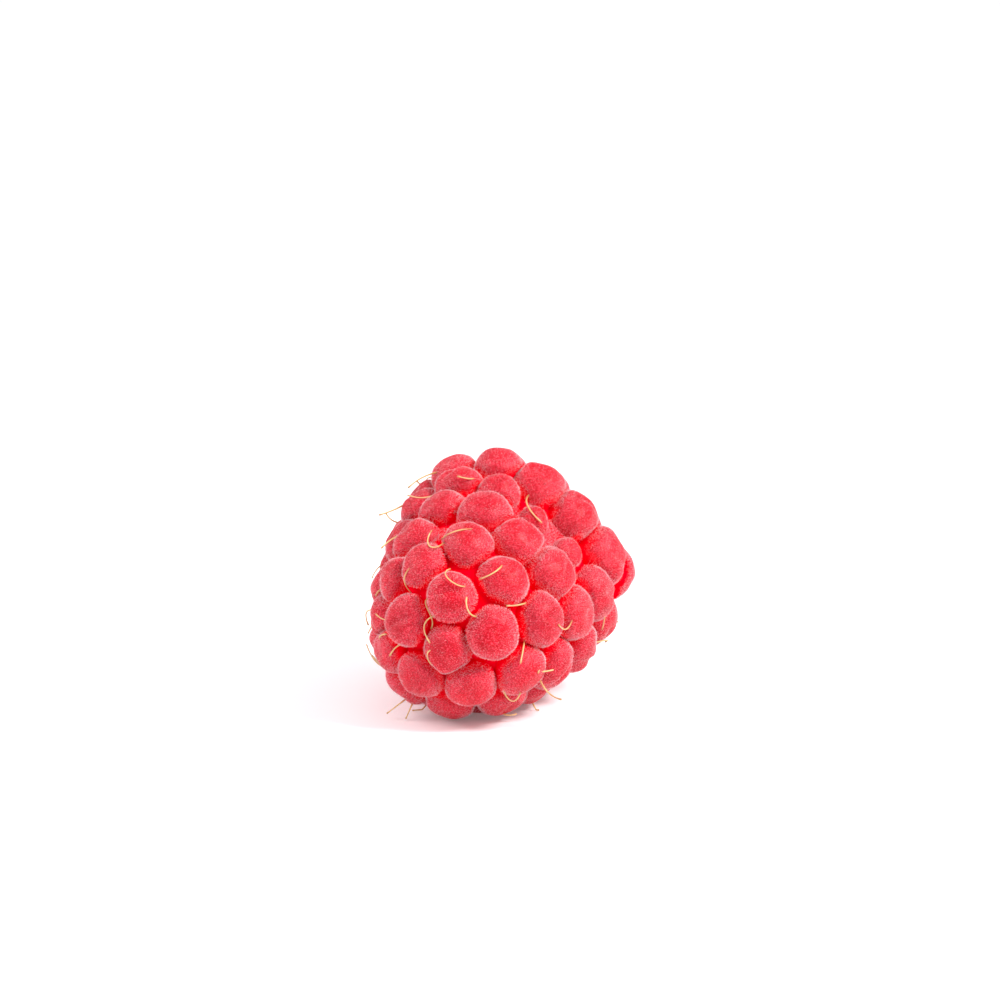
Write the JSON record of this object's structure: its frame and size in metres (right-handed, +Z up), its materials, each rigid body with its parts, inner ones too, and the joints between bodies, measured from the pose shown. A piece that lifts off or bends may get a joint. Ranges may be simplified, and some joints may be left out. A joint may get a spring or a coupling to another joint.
{
  "type": "raspberry",
  "caption": "Ripe red raspberry as picked, hollow and open where its core was, made of drupelets grown together, lying on its side.",
  "frame": {"origin": "under the middle of the bounding box, on the surface that the fruit lies on", "axes": "+Z up from the surface, the tip of the fruit towards -Y and a little down, the open end towards +Y, +X to the right as the tip faces the viewer"},
  "size_m": [0.0196, 0.0242, 0.0198],
  "materials": {
    "raspberry_flesh": "soft juicy skin with a fine pale down"
  },
  "bodies": {
    "root": {"raspberry": "raspberry_flesh"}
  },
  "joints": []
}
